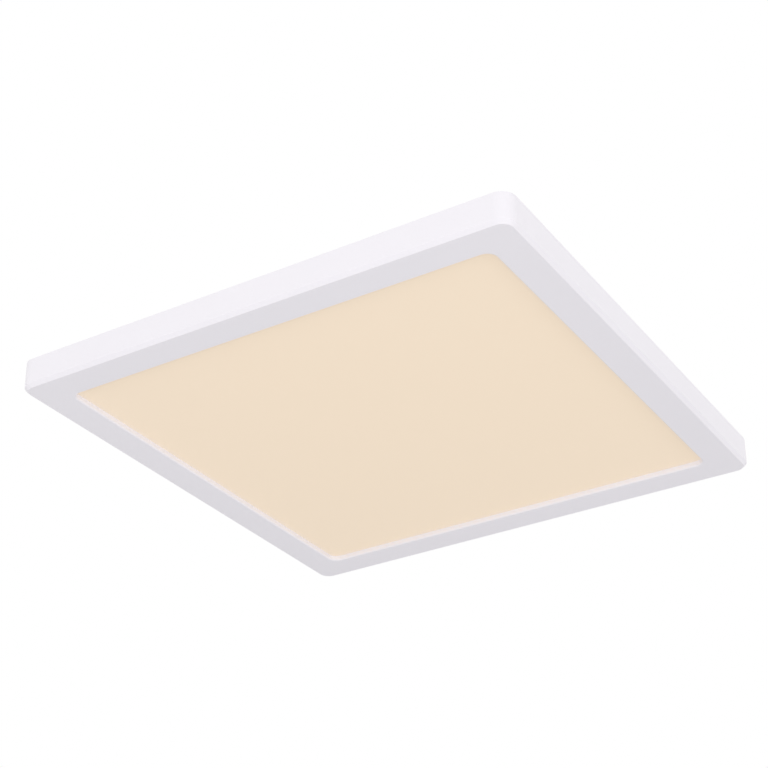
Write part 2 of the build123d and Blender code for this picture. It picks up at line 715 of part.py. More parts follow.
capacitor_points = [
    (driver_x - capacitor_offset, driver_y - capacitor_spread / 2),
    (driver_x - capacitor_offset, driver_y + capacitor_spread / 2),
    (driver_x + output_capacitor_offset, driver_y),
]
with BuildPart() as driver_capacitors:
    for x, y in capacitor_points:
        with BuildSketch(Plane.YZ.offset(x)):
            with Locations((y, z_board_top + part_height / 2)):
                Circle(part_height / 2)
        extrude(amount=capacitor_length / 2, both=True)
finish(driver_capacitors, "driver_capacitors")

with BuildPart() as driver_choke:
    with BuildSketch(Plane.XY.offset(z_board_top)):
        with Locations((driver_x - choke_offset, driver_y)):
            Circle(choke_radius)
            Circle(choke_hole_radius, mode=Mode.SUBTRACT)
    extrude(amount=part_height)
finish(driver_choke, "driver_choke")

# Mains leads from the terminal block's snout to the driver
for pole, x in lead_x.items():
    with BuildPart() as lead:
        with BuildLine() as route:
            FilletPolyline(
                (x, snout_back + lead_entry, snout_z),
                (x, lead_y[pole], snout_z),
                (driver_start + lead_entry, lead_y[pole], snout_z),
                radius=[lead_bend],
            )
        with BuildSketch(Plane(route.line @ 0, z_dir=route.line % 0)):
            Circle(lead_radius)
        sweep(path=route.line)
    finish(lead, f"lead_{pole}")

# Flat twin LED leads run on edge, then drop past the heat plate to the ends of the boards
wire_start = driver_start + driver_length - lead_entry
wire_cross_x = driver_start + driver_length + wire_turn
wire_end_z = z_guide + guide_thickness / 2
wire_run_y = wire_y + wire_run_inset
wire_level = wire_z + wire_pitch / 2
drop_y = wire_y - wire_pitch / 2
wire_routes = {
    "right": [(wire_start, wire_y_out["right"]), (wire_x, wire_y_out["right"])],
    "left": [
        (wire_start, wire_y_out["left"]),
        (wire_cross_x, wire_y_out["left"]),
        (wire_cross_x, wire_run_y),
        (-wire_x, wire_run_y),
    ],
}
for hand, sign in hands:
    points = [(x, y, wire_level) for x, y in wire_routes[hand]]
    points += [(sign * wire_x, drop_y, wire_level), (sign * wire_x, drop_y, wire_end_z)]
    bends = [wire_bend] * (len(points) - 3) + [wire_drop_bend + wire_pitch / 2]
    with BuildPart() as output_lead:
        with BuildLine() as route:
            FilletPolyline(*points, radius=bends)
        with BuildSketch(Plane(route.line @ 0, x_dir=(0, 0, 1), z_dir=route.line % 0)):
            SlotCenterToCenter(wire_pitch, 2 * wire_radius)
        sweep(path=route.line)
    finish(output_lead, f"output_lead_{hand}")

# Stick-on clips hold the long lead to the heat plate
clip_top = wire_z + wire_pitch + wire_radius + wire_clip_wall
channel = 2 * wire_radius + 2 * lead_clearance
with BuildPart() as lead_clips:
    for place in range(wire_clip_count):
        middle = (place - (wire_clip_count - 1) / 2) * wire_clip_pitch
        with BuildSketch(Plane.YZ.offset(middle)):
            with Locations((wire_run_y, (z_heat_top + clip_top) / 2)):
                Rectangle(channel + 2 * wire_clip_wall, clip_top - z_heat_top)
            with Locations((wire_run_y, wire_z + wire_pitch / 2)):
                SlotCenterToCenter(wire_pitch, channel, rotation=90, mode=Mode.SUBTRACT)
            with Locations((wire_run_y + channel / 2 + wire_clip_wall / 2, wire_z + wire_pitch / 2)):
                Rectangle(2 * wire_clip_wall, wire_radius, mode=Mode.SUBTRACT)
        extrude(amount=wire_clip_length / 2, both=True)
finish(lead_clips, "lead_clips")
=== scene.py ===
import math

import bmesh
import bpy
from mathutils import Matrix, Quaternion, Vector


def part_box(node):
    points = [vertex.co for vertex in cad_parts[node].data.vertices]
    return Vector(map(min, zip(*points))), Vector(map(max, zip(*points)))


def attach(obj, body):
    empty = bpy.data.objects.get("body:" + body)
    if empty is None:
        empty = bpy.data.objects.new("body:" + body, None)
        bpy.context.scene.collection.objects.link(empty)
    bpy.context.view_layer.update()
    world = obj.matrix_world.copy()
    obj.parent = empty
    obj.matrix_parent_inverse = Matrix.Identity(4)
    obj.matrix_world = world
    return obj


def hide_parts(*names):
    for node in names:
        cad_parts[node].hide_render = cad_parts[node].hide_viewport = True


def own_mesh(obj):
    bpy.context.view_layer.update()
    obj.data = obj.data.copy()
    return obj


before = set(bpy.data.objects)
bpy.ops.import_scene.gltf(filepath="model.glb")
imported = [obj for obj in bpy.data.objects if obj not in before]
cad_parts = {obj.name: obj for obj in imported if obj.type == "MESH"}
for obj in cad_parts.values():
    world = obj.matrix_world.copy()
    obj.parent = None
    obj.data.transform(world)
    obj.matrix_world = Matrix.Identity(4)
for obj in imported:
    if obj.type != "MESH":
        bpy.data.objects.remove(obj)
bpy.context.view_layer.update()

# Frame: one white ABS moulding that makes the outer wall, the lower face and the upright lip round
# the lit opening. The wall has one degree of draft and a bevelled lower edge. Inside stand the ribs,
# screw posts and stops that carry the other pieces.

MM = 0.001
smooth_limit = math.radians(38)


def rounded(corners, steps):
    """A closed outline through corners (u, v, radius), each rounded by an arc of that many steps."""
    outline = []
    for i, (u, v, radius) in enumerate(corners):
        corner = Vector((u, v))
        to_last = (Vector(corners[i - 1][:2]) - corner).normalized()
        to_next = (Vector(corners[(i + 1) % len(corners)][:2]) - corner).normalized()
        half_angle = to_last.angle(to_next) / 2
        centre = corner + (to_last + to_next).normalized() * radius / math.sin(half_angle)
        start = corner + to_last * radius / math.tan(half_angle) - centre
        stop = corner + to_next * radius / math.tan(half_angle) - centre
        for step in range(steps + 1):
            outline.append(centre + start.slerp(stop, step / steps) * radius)
    return outline


def rounded_rectangle(half_x, half_y, radius, steps=12):
    """Outline of a rounded rectangle about the origin."""
    quarters = ((1, 1), (-1, 1), (-1, -1), (1, -1))
    return rounded([(half_x * x, half_y * y, radius) for x, y in quarters], steps)


def ring(bm, outline, z):
    """Vertices of an outline at a level, both given in millimetres."""
    return [bm.verts.new((x * MM, y * MM, z * MM)) for x, y in outline]


def skin(bm, rings):
    """Faces between each ring of vertices and the next."""
    for lower, upper in zip(rings, rings[1:]):
        for i in range(len(lower)):
            bm.faces.new((lower[i - 1], lower[i], upper[i], upper[i - 1]))


def block(bm, low, high):
    """A rectangular block between two corners in millimetres."""
    low = Vector(low) * MM
    high = Vector(high) * MM
    size = Matrix.Diagonal((*(high - low), 1.0))
    bmesh.ops.create_cube(bm, size=1.0, matrix=Matrix.Translation((low + high) / 2) @ size)


def post(bm, x, y, radius, low, high, segments=24):
    """An upright round post between two levels in millimetres."""
    bmesh.ops.create_cone(
        bm, cap_ends=True, segments=segments, radius1=radius * MM, radius2=radius * MM,
        depth=(high - low) * MM, matrix=Matrix.Translation(Vector((x, y, (low + high) / 2)) * MM),
    )


def solid(name, bm):
    """A new object from a bmesh, with its faces turned outward."""
    bmesh.ops.recalc_face_normals(bm, faces=bm.faces)
    mesh = bpy.data.meshes.new(name)
    bm.to_mesh(mesh)
    bm.free()
    made = bpy.data.objects.new(name, mesh)
    bpy.context.scene.collection.objects.link(made)
    return made


def settle(made):
    """Bake an object's modifiers into its mesh."""
    bpy.context.view_layer.update()
    seen = made.evaluated_get(bpy.context.evaluated_depsgraph_get())
    baked = bpy.data.meshes.new_from_object(seen)
    made.modifiers.clear()
    made.data = baked


def combine(made, tool_bm, operation):
    """Cut a bmesh out of an object, or join it on."""
    tool = solid("tool", tool_bm)
    boolean = made.modifiers.new("combine", "BOOLEAN")
    boolean.object = tool
    boolean.operation = operation
    boolean.solver = "EXACT"
    boolean.use_self = True
    settle(made)
    bpy.data.objects.remove(tool)


def fit(made, material, slot, body, *replaced):
    """Shade a finished piece and set it on its body, in place of CAD nodes."""
    made.data.materials.clear()
    made.data.materials.append(material)
    made.data.shade_smooth()
    made.data.set_sharp_from_angle(angle=smooth_limit)
    even = made.modifiers.new("even_faces", "WEIGHTED_NORMAL")
    even.keep_sharp = True
    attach(made, body)
    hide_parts(*replaced)


frame_low, frame_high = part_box("frame")
half_side = frame_high.x / MM
lower_face = frame_low.z / MM
lip_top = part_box("diffuser")[0].z / MM
corner_radius = 12.0
draft = math.tan(math.radians(1.0))
bevel = 2.8
bezel_width = 29.0
opening_corner = 8.0
opening_edge = 1.5
lip_wall = 2.0
bezel_thickness = 2.4
frame_wall = 3.0
rebate = 1.2
cover_seat = -2.6
soft_edge = 0.35
inner_edge = 0.2
seat_edge = 0.02
edge_steps = 6
corner_steps = 18

outer_centre = half_side - corner_radius
opening_half = half_side - bezel_width
opening_centre = opening_half - opening_corner
bezel_middle = (outer_centre + opening_centre) / 2 + lip_wall
bezel_top = lower_face + bezel_thickness
cavity_half = half_side - frame_wall
frame_profile = rounded(
    [
        (half_side, 0, soft_edge),
        (half_side + (lower_face + bevel) * draft, lower_face + bevel, soft_edge),
        (half_side + lower_face * draft - bevel, lower_face, soft_edge),
        (opening_half, lower_face, opening_edge),
        (opening_half, lip_top, seat_edge),
        (opening_half + lip_wall, lip_top, inner_edge),
        (opening_half + lip_wall, bezel_top, inner_edge),
        (cavity_half + (bezel_top - cover_seat) * draft, bezel_top, inner_edge),
        (cavity_half, cover_seat, inner_edge),
        (cavity_half + rebate, cover_seat, inner_edge),
        (cavity_half + rebate, 0, soft_edge),
    ],
    edge_steps,
)
bm = bmesh.new()
rings = []
for half, z in frame_profile:
    centre = outer_centre if half > bezel_middle else opening_centre
    rings.append(ring(bm, rounded_rectangle(half, half, half - centre, corner_steps), z))
skin(bm, rings + rings[:1])
frame_moulding = solid("frame_moulding", bm)

rib_count = 7
rib_end = 60.0
rib_thickness = 1.6
post_radius = 3.5
post_inset = 6.0
post_end = 80.0
pilot_radius = 1.25
pilot_depth = 7.5
pilot_segments = 16
boss_radius = 3.0
boss_inset = 8.5
boss_end = 35.0
boss_pitch = 110.0
boss_pilot_depth = 5.5
stop_length = 3.0
stop_gap = 0.3
stop_end = 0.5
guide_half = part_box("light_guide")[1].x / MM
stop_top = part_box("reflector")[0].z / MM
boss_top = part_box("reflector")[1].z / MM
seat_overlap = 0.5
post_reach = half_side - post_inset
cover_screw_places = [
    (x, y)
    for along in (post_end - half_side, 0, half_side - post_end)
    for x, y in ((along, post_reach), (along, -post_reach), (post_reach, along), (-post_reach, along))
]
boss_x = half_side - boss_end
boss_y = half_side - boss_inset
boss_places = [
    (sx * x, sy * boss_y) for x in (boss_x, boss_x - boss_pitch) for sx in (-1, 1) for sy in (-1, 1)
]
root = bezel_top - seat_overlap
inside = bmesh.new()
for i in range(rib_count):
    along = (rib_end - half_side) + i * 2 * (half_side - rib_end) / (rib_count - 1)
    low = (opening_half + lip_wall / 2, along - rib_thickness / 2, root)
    high = (cavity_half + seat_overlap, along + rib_thickness / 2, lip_top)
    block(inside, low, high)
    block(inside, (-high[0], low[1], root), (-low[0], high[1], lip_top))
    block(inside, (low[1], low[0], root), (high[1], high[0], lip_top))
    block(inside, (low[1], -high[0], root), (high[1], -low[0], lip_top))
for x, y in cover_screw_places:
    post(inside, x, y, post_radius, root, cover_seat)
for x, y in boss_places:
    post(inside, x, y, boss_radius, root, boss_top)
    fin = sorted((math.copysign(guide_half + stop_gap, y), y))
    block(inside, (x - rib_thickness / 2, fin[0], root), (x + rib_thickness / 2, fin[1], stop_top))
for sx in (-1, 1):
    for sy in (-1, 1):
        across = sorted((sx * (guide_half + stop_gap), sx * (guide_half + stop_gap + rib_thickness)))
        along = sorted((sy * (guide_half - stop_end), sy * (guide_half - stop_end - stop_length)))
        block(inside, (across[0], along[0], root), (across[1], along[1], stop_top))
combine(frame_moulding, inside, "UNION")
pilots = bmesh.new()
for places, depth, level in (
    (cover_screw_places, pilot_depth, cover_seat),
    (boss_places, boss_pilot_depth, boss_top),
):
    for x, y in places:
        post(pilots, x, y, pilot_radius, level - depth, level + seat_overlap, pilot_segments)
combine(frame_moulding, pilots, "DIFFERENCE")


def linear(hex_colour):
    """An sRGB hex colour as the linear values that a shader socket takes."""
    channels = [int(hex_colour[i:i + 2], 16) / 255 for i in (1, 3, 5)]
    return [c / 12.92 if c <= 0.04045 else ((c + 0.055) / 1.055) ** 2.4 for c in channels] + [1.0]


def add(tree, kind, settings=None, links=None, to=None):
    """Add a node: settings are for its properties or sockets, links bring other outputs to its
    sockets, and to takes its own outputs on to the sockets of other nodes."""
    node = tree.nodes.new(kind)
    for name, value in (settings or {}).items():
        if isinstance(name, str) and hasattr(node, name):
            setattr(node, name, value)
        else:
            node.inputs[name].default_value = value
    for name, source in (links or {}).items():
        tree.links.new(source, node.inputs[name])
    for name, socket in (to or {}).items():
        tree.links.new(node.outputs[name], socket)
    return node


def start_material(name, colour, roughness, metallic=0.0):
    """A new material, its tree and shader, and the place of each point in metres."""
    material = bpy.data.materials.new(name)
    material.use_nodes = True
    tree = material.node_tree
    shader = tree.nodes["Principled BSDF"]
    shader.inputs["Base Color"].default_value = linear(colour)
    shader.inputs["Roughness"].default_value = roughness
    shader.inputs["Metallic"].default_value = metallic
    place = add(tree, "ShaderNodeTexCoord").outputs["Object"]
    return material, tree, shader, place


def grain(tree, shader, place, size, depth, smooth, rough, tones=None):
    """Unevenness of a size and depth in millimetres, rough in its hollows and smooth on its crests.
    Tones are the colours of the two. Most of the noise lies between 0.3 and 0.7."""
    noise = add(tree, "ShaderNodeTexNoise", {"Scale": 1 / (size * MM), "Detail": 3.0}, {"Vector": place})
    height = noise.outputs["Fac"]
    add(
        tree, "ShaderNodeMapRange",
        {"From Min": 0.3, "From Max": 0.7, "To Min": rough, "To Max": smooth},
        {"Value": height}, {"Result": shader.inputs["Roughness"]},
    )
    add(
        tree, "ShaderNodeBump", {"Distance": depth * MM},
        {"Height": height}, {"Normal": shader.inputs["Normal"]},
    )
    if tones:
        add(
            tree, "ShaderNodeMix", {"data_type": "RGBA", 6: linear(tones[0]), 7: linear(tones[1])},
            {0: height}, {2: shader.inputs["Base Color"]},
        )


# White ABS from a spark-eroded mould: an even satin. The erosion grain is drawn at 0.8 mm, about
# twice its real size, so that it shows, and the tone drifts slowly where the melt flowed.
flow_length = 70.0
white_abs, tree, shader, place = start_material("white_abs_moulded", "#F1EEF3", 0.45)
shader.inputs["IOR"].default_value = 1.53
grain(tree, shader, place, size=0.8, depth=0.004, smooth=0.40, rough=0.50)
flow = add(tree, "ShaderNodeTexNoise", {"Scale": 1 / (flow_length * MM), "Detail": 1.0}, {"Vector": place})
add(
    tree, "ShaderNodeMix", {"data_type": "RGBA", 6: linear("#F0EDF2"), 7: linear("#F2EFF4")},
    {0: flow.outputs["Fac"]}, {2: shader.inputs["Base Color"]},
)
fit(frame_moulding, white_abs, "white_plastic", "fitting", "frame")

# Diffuser: opal polystyrene sheet that lies loose on the frame's lip, lit from behind by the guide.
# It glows an even warm cream, a little paler in the last millimetres beside the lip.
edge_band = 5.0


def dress(material, *names):
    """Give CAD nodes a material in place of their packed one."""
    for name in names:
        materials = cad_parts[name].data.materials
        materials.clear()
        materials.append(material)


opal, tree, shader, place = start_material("opal_polystyrene_lit", "#EEDDC7", 0.55)
shader.inputs["IOR"].default_value = 1.59
shader.inputs["Emission Strength"].default_value = 0.158
grain(tree, shader, place, size=1.5, depth=0.002, smooth=0.50, rough=0.60)
spot = add(tree, "ShaderNodeSeparateXYZ", None, {"Vector": place})
across = add(tree, "ShaderNodeMath", {"operation": "ABSOLUTE"}, {0: spot.outputs["X"]})
along = add(tree, "ShaderNodeMath", {"operation": "ABSOLUTE"}, {0: spot.outputs["Y"]})
outward = add(
    tree, "ShaderNodeMath", {"operation": "MAXIMUM"}, {0: across.outputs[0], 1: along.outputs[0]}
)
near_lip = add(
    tree, "ShaderNodeMapRange",
    {"From Min": (opening_half - edge_band) * MM, "From Max": opening_half * MM},
    {"Value": outward.outputs[0]},
)
for socket, sheet_colour, lip_colour in (
    ("Base Color", "#EEDDC7", "#EADDCD"),
    ("Emission Color", "#FFE5C2", "#FAE5C7"),
):
    add(
        tree, "ShaderNodeMix", {"data_type": "RGBA", 6: linear(sheet_colour), 7: linear(lip_colour)},
        {0: near_lip.outputs["Result"]}, {2: shader.inputs[socket]},
    )
dress(opal, "diffuser")

# Light guide and reflector film: a clear acrylic plate with printed dots that throw the light down,
# under a matt white film that sends back what leaks upward. Both lie loose on the diffuser.
# Bare acrylic is glassy and each dot a dull spot, blurred at its edge.
dot_pitch = 3.0
dot_core = 0.75
dot_rim = 0.96
acrylic, tree, shader, place = start_material("clear_acrylic_with_dots", "#F2F7F7", 0.05)
shader.inputs["IOR"].default_value = 1.49
shader.inputs["Transmission Weight"].default_value = 0.85
dots = add(
    tree, "ShaderNodeTexVoronoi", {"Scale": 1 / (dot_pitch * MM), "Randomness": 0.0}, {"Vector": place}
)
add(
    tree, "ShaderNodeMapRange",
    {"From Min": dot_core / dot_pitch, "From Max": dot_rim / dot_pitch, "To Min": 0.6, "To Max": 0.05},
    {"Value": dots.outputs["Distance"]}, {"Result": shader.inputs["Roughness"]},
)
dress(acrylic, "light_guide")

# White polyester film is matt, with a faint cloud from the fine voids that make it white.
film, tree, shader, place = start_material("white_polyester_film", "#F3F3F1", 0.6)
grain(
    tree, shader, place, size=0.6, depth=0.002, smooth=0.55, rough=0.70, tones=("#EFEFED", "#F6F6F4")
)
dress(film, "reflector")

# Heat plate: folded aluminium tray over the film, screwed to the frame's bosses. Its flanges carry
# the two LED boards on heat-conducting tape, so it takes the heat of the LEDs.
# Mill-finish aluminium shows fine streaks along the rolling direction.
streak_length = 60.0
streak_width = 0.8
aluminium, tree, shader, place = start_material("mill_finish_aluminium", "#C6C9CD", 0.4, 1.0)
rolling = add(
    tree, "ShaderNodeMapping", {"Scale": (streak_width / streak_length, 1.0, 1.0)}, {"Vector": place}
)
grain(
    tree, shader, rolling.outputs["Vector"], size=streak_width, depth=0.004, smooth=0.30, rough=0.46,
    tones=("#B9BCC1", "#D0D3D7"),
)
dress(aluminium, "heat_plate")

# Thermal tape on glass fibre: a dull pale grey, slightly woven.
tape, tree, shader, place = start_material("glass_fibre_thermal_tape", "#DCDCE0", 0.8)
grain(tree, shader, place, size=0.5, depth=0.02, smooth=0.70, rough=0.90, tones=("#D2D2D8", "#E6E6E8"))
dress(tape, "led_tape_left", "led_tape_right")

# White solder mask over copper: satin, with the tracks showing as low steps every 3 mm. The wave
# texture repeats every 0.314 units at a scale of 1.
track_pitch = 3.0
track_step = 0.04
wave_period = 0.314
mask, tree, shader, place = start_material("white_solder_mask", "#EFF1EF", 0.35)
tracks = add(
    tree, "ShaderNodeTexWave",
    {"Scale": wave_period / (track_pitch * MM), "bands_direction": "Y", "Distortion": 0.4},
    {"Vector": place},
)
add(
    tree, "ShaderNodeBump", {"Distance": track_step * MM},
    {"Height": tracks.outputs["Fac"]}, {"Normal": shader.inputs["Normal"]},
)
add(
    tree, "ShaderNodeMix", {"data_type": "RGBA", 6: linear("#F1F3F1"), 7: linear("#E6EAE7")},
    {0: tracks.outputs["Fac"]}, {2: shader.inputs["Base Color"]},
)
dress(mask, "led_board_left", "led_board_right")

# LED packs: white plastic cups filled with yellow phosphor on the face that looks into the guide.
# The phosphor is a fine powder in silicone, so that face is a little uneven.
powder_size = 0.2
powder_relief = 0.01
led, tree, shader, place = start_material("phosphor_in_white_pack", "#F2D76A", 0.4)
facing = add(tree, "ShaderNodeNewGeometry")
turned_to = add(tree, "ShaderNodeSeparateXYZ", None, {"Vector": facing.outputs["Normal"]})
sideways = add(tree, "ShaderNodeMath", {"operation": "ABSOLUTE"}, {0: turned_to.outputs["X"]})
add(
    tree, "ShaderNodeMix", {"data_type": "RGBA", 6: linear("#F1F0EA"), 7: linear("#F2D76A")},
    {0: sideways.outputs[0]}, {2: shader.inputs["Base Color"]},
)
powder = add(tree, "ShaderNodeTexNoise", {"Scale": 1 / (powder_size * MM)}, {"Vector": place})
add(
    tree, "ShaderNodeBump", {"Distance": powder_relief * MM},
    {"Height": powder.outputs["Fac"]}, {"Normal": shader.inputs["Normal"]},
)
dress(led, "led_chips_left", "led_chips_right")

# Driver: the power supply, a two-part white case stuck to the heat plate with foam tape. Inside are
# the circuit board, the transformer, three capacitors and a choke.
# The foam is dull and shows its cells. The case has the fine dull texture of its mould.
foam, tree, shader, place = start_material("closed_cell_foam_tape", "#D9D9D4", 0.9)
grain(tree, shader, place, size=0.4, depth=0.08, smooth=0.80, rough=0.95, tones=("#C9C9C3", "#E4E4E0"))
dress(foam, "driver_tape")

case_plastic, tree, shader, place = start_material("white_polycarbonate_textured", "#E2E2DF", 0.55)
shader.inputs["IOR"].default_value = 1.58
grain(tree, shader, place, size=0.7, depth=0.02, smooth=0.48, rough=0.62, tones=("#DEDEDB", "#E6E6E3"))
dress(case_plastic, "driver_base", "driver_lid")

# Green solder mask on glass-epoxy: paler where a copper track runs underneath, about 2 mm wide.
board_cell = (9.0, 4.0)
board_track = 0.9
board, tree, shader, place = start_material("green_solder_mask_on_epoxy", "#2F6B41", 0.35)
copper = add(
    tree, "ShaderNodeTexBrick",
    {
        "Scale": 1.0, "Brick Width": board_cell[0] * MM, "Row Height": board_cell[1] * MM,
        "Mortar Size": board_track * MM,
    },
    {"Vector": place},
)
add(
    tree, "ShaderNodeMix", {"data_type": "RGBA", 6: linear("#2F6B41"), 7: linear("#4A8A57")},
    {0: copper.outputs["Fac"]}, {2: shader.inputs["Base Color"]},
)
add(
    tree, "ShaderNodeBump", {"Distance": track_step * MM},
    {"Height": copper.outputs["Fac"]}, {"Normal": shader.inputs["Normal"]},
)
dress(board, "driver_board")

# Ferrite core with the taped winding standing out at both ends: dull dark grey, then glossy yellow.
transformer_low, transformer_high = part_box("driver_transformer")
core_half = 10.0
wrap, tree, shader, place = start_material("yellow_polyester_tape_over_ferrite", "#D9B83A", 0.35)
spot = add(tree, "ShaderNodeSeparateXYZ", None, {"Vector": place})
from_middle = add(
    tree, "ShaderNodeMath",
    {"operation": "SUBTRACT", 1: (transformer_low.x + transformer_high.x) / 2}, {0: spot.outputs["X"]},
)
reach = add(tree, "ShaderNodeMath", {"operation": "ABSOLUTE"}, {0: from_middle.outputs[0]})
beyond_core = add(
    tree, "ShaderNodeMath", {"operation": "GREATER_THAN", 1: core_half * MM}, {0: reach.outputs[0]}
)
add(
    tree, "ShaderNodeMix", {"data_type": "RGBA", 6: linear("#3B3B3E"), 7: linear("#D9B83A")},
    {0: beyond_core.outputs[0]}, {2: shader.inputs["Base Color"]},
)
grain(tree, shader, place, size=0.6, depth=0.01, smooth=0.30, rough=0.55)
dress(wrap, "driver_transformer")

# Electrolytic capacitors: dark shrink sleeve with a pale stripe along the top, bare aluminium ends.
# A face belongs to the stripe or to an end where its normal leans far enough that way.
stripe_lean = 0.93
end_lean = 0.9
sleeve, tree, shader, place = start_material("dark_shrink_sleeve", "#1E2026", 0.3)
facing = add(tree, "ShaderNodeNewGeometry")
turned_to = add(tree, "ShaderNodeSeparateXYZ", None, {"Vector": facing.outputs["Normal"]})
stripe = add(
    tree, "ShaderNodeMath", {"operation": "GREATER_THAN", 1: stripe_lean}, {0: turned_to.outputs["Z"]}
)
sideways = add(tree, "ShaderNodeMath", {"operation": "ABSOLUTE"}, {0: turned_to.outputs["X"]})
can_end = add(
    tree, "ShaderNodeMath", {"operation": "GREATER_THAN", 1: end_lean}, {0: sideways.outputs[0]}
)
pale = add(
    tree, "ShaderNodeMath", {"operation": "MAXIMUM"}, {0: stripe.outputs[0], 1: can_end.outputs[0]}
)
add(
    tree, "ShaderNodeMix", {"data_type": "RGBA", 6: linear("#1E2026"), 7: linear("#B9BCC0")},
    {0: pale.outputs[0]}, {2: shader.inputs["Base Color"]},
)
grain(tree, shader, place, size=0.5, depth=0.006, smooth=0.25, rough=0.40)
dress(sleeve, "driver_capacitors")

# Choke: enamelled copper wire wound through a ring core, so fine radial ridges of a red-brown metal,
# with painted shade between the turns and a painted highlight on their crests.
choke_low, choke_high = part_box("driver_choke")
choke_turns = 40.0
wire_relief = 0.25
copper_wire, tree, shader, place = start_material("enamelled_copper_winding", "#A5582E", 0.3, 0.9)
centred = add(
    tree, "ShaderNodeVectorMath", {"operation": "SUBTRACT", 1: (choke_low + choke_high) / 2}, {0: place}
)
spot = add(tree, "ShaderNodeSeparateXYZ", None, {"Vector": centred.outputs["Vector"]})
angle = add(
    tree, "ShaderNodeMath", {"operation": "ARCTAN2"}, {0: spot.outputs["Y"], 1: spot.outputs["X"]}
)
counted = add(tree, "ShaderNodeMath", {"operation": "MULTIPLY", 1: choke_turns}, {0: angle.outputs[0]})
wire_ridges_and_shade = add(tree, "ShaderNodeMath", {"operation": "SINE"}, {0: counted.outputs[0]})
add(
    tree, "ShaderNodeBump", {"Distance": wire_relief * MM},
    {"Height": wire_ridges_and_shade.outputs[0]}, {"Normal": shader.inputs["Normal"]},
)
# Painted shade and highlight: the ridges make the colour darker between the turns and lighter on their
# crests.
add(
    tree, "ShaderNodeMix", {"data_type": "RGBA", 6: linear("#7E3F1F"), 7: linear("#B4673A")},
    {0: wire_ridges_and_shade.outputs[0]}, {2: shader.inputs["Base Color"]},
)
dress(copper_wire, "driver_choke")

# Leads: mains leads in brown and blue PVC from the terminal block to the driver, and flat white twin
# leads from the driver to the LED boards, held to the heat plate by stick-on nylon clips.
# Extruded PVC is smooth with a dull shine and faint marks from the die.
for lead_name, colour, shade, lead_nodes in (
    ("brown_pvc_insulation", "#6B4226", "#5E3920", ["lead_live"]),
    ("blue_pvc_insulation", "#2F66B5", "#285AA3", ["lead_neutral"]),
    ("white_pvc_insulation", "#E8E8E6", "#DEDEDC", ["output_lead_left", "output_lead_right"]),
):
    insulation, tree, shader, place = start_material(lead_name, colour, 0.4)
    grain(tree, shader, place, size=0.9, depth=0.01, smooth=0.32, rough=0.48, tones=(colour, shade))
    dress(insulation, *lead_nodes)

# Natural nylon is milky: a little light goes in, and its tone is slightly cloudy.
nylon, tree, shader, place = start_material("natural_nylon_moulded", "#E0DED2", 0.45)
shader.inputs["Subsurface Weight"].default_value = 0.2
grain(tree, shader, place, size=1.2, depth=0.01, smooth=0.38, rough=0.52, tones=("#DAD8CA", "#E6E4DA"))
dress(nylon, "lead_clips")

# Back cover: pressed steel sheet with white powder coat, held in the frame's rebate by twelve screws.
# Beads stiffen it, and a drawn pocket in the middle holds the bracket and the wiring.
cover_low, cover_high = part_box("back_cover")
cover_half = cover_high.x / MM
cover_corner = 9.8
cover_top = -2.0
cover_sheet = 0.6
pocket_half = (115.0, 65.0)
pocket_corner = 14.0
pocket_floor = cover_low.z / MM + cover_sheet
pocket_bend = 1.5
bend_steps = 6
bead_length = 170.0
bead_width = 10.0
bead_height = cover_high.z / MM - cover_top
bead_offset = 165.0
bead_corner_length = 90.0
bead_corner_offset = 208.0
bead_shoulder = 0.9
bead_steps = 8
hole_radius = 1.5
rivet_hole_radius = 1.55
rivet_pitch = 11.0
rivet_inset = 7.5
rivet_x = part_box("spring_clip_right")[1].x / MM - rivet_inset
rivet_places = [(sx * rivet_x, sy * rivet_pitch / 2) for sx in (-1, 1) for sy in (-1, 1)]
base_low, base_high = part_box("terminal_base")
ear_reach = 8.0
terminal_screw_x = base_high.x / MM - ear_reach / 2
terminal_screw_y = (base_low.y + base_high.y) / 2 / MM
terminal_screw_places = [(-terminal_screw_x, terminal_screw_y), (terminal_screw_x, terminal_screw_y)]
snout_half = 11.0
snout_rise = 2.6
snout_height = 4.0
snout_gap = 0.3
snout_low = pocket_floor + snout_rise


def arc(u, v, radius, start, stop, steps):
    """Points of an arc about (u, v), its angles in degrees."""
    angles = [math.radians(start + (stop - start) * step / steps) for step in range(steps + 1)]
    return [(u + radius * math.cos(a), v + radius * math.sin(a)) for a in angles]


def stadium(length, width, x=0.0, y=0.0, turn=0.0, steps=12):
    """Outline of a slot with round ends, turned by degrees and set at (x, y)."""
    reach = (length - width) / 2
    ends = arc(reach, 0, width / 2, -90, 90, steps) + arc(-reach, 0, width / 2, 90, 270, steps)
    cos = math.cos(math.radians(turn))
    sin = math.sin(math.radians(turn))
    return [(x + cos * u - sin * v, y + sin * u + cos * v) for u, v in ends]


def circle(x, y, radius, segments=20):
    """Outline of a round hole."""
    return arc(x, y, radius, 0, 360 - 360 / segments, segments - 1)


def fill(bm, *loops):
    """Fill the flat area inside the first loop of vertices and outside the others."""
    edges = []
    for loop in loops:
        for first, second in zip(loop, loop[1:] + loop[:1]):
            edges.append(bm.edges.get((first, second)) or bm.edges.new((first, second)))
    bmesh.ops.triangle_fill(bm, edges=edges, use_beauty=True, normal=(0, 0, 1))


